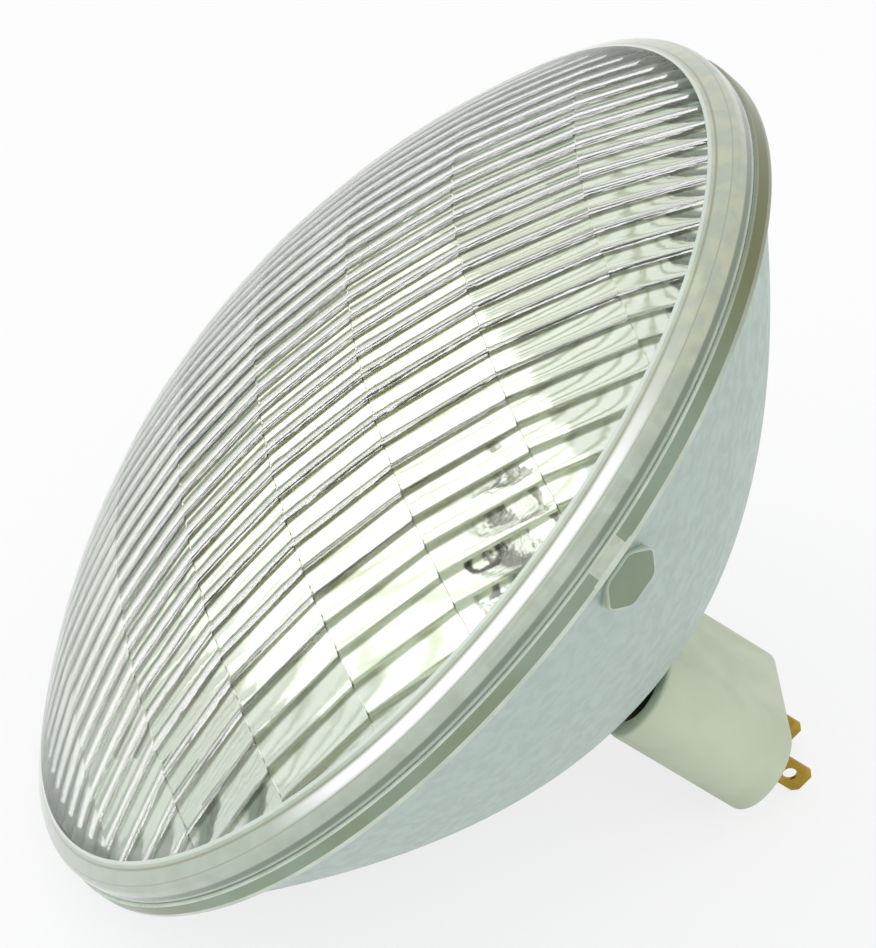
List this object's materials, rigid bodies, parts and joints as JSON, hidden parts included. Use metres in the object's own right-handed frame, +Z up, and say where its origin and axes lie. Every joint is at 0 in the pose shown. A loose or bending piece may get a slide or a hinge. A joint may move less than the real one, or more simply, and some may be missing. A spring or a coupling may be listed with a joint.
{
  "type": "par spotlight bulb",
  "caption": "Sealed-beam PAR spotlight bulb: ribbed glass lens, mirrored glass bowl, quartz burner and oblong ceramic base with flat contact blades.",
  "frame": {"origin": "middle of the lamp's outline on the floor it lies on, between its lowest rim lug and the tips of its blades", "axes": "+X along the base's long side, across the lamp, +Z up, and +Y from the lens towards the base"},
  "size_m": [0.2032, 0.1615, 0.1563],
  "materials": {
    "lens_glass": "clear pressed glass, smooth outside",
    "bowl_glass": "satin pressed glass outside, bright metal film inside",
    "ceramic": "matt unglazed",
    "cement": "matt, slightly rough",
    "brass": "plain rolled strip",
    "nickel": "nickel plated, satin",
    "tungsten": "drawn wire",
    "molybdenum": "bright rolled and drawn",
    "quartz": "clear polished"
  },
  "bodies": {
    "root": {"basing_cement": "cement", "burner_envelope": "quartz", "burner_lead_left": "molybdenum", "burner_lead_right": "molybdenum", "ceramic_base": "ceramic", "contact_blade_left": "brass", "contact_blade_right": "brass", "ferrule_left": "nickel", "ferrule_right": "nickel", "filament": "tungsten", "foil_left": "molybdenum", "foil_right": "molybdenum", "lens": "lens_glass", "reflector": "bowl_glass", "support_post_left": "nickel", "support_post_right": "nickel"}
  },
  "joints": []
}
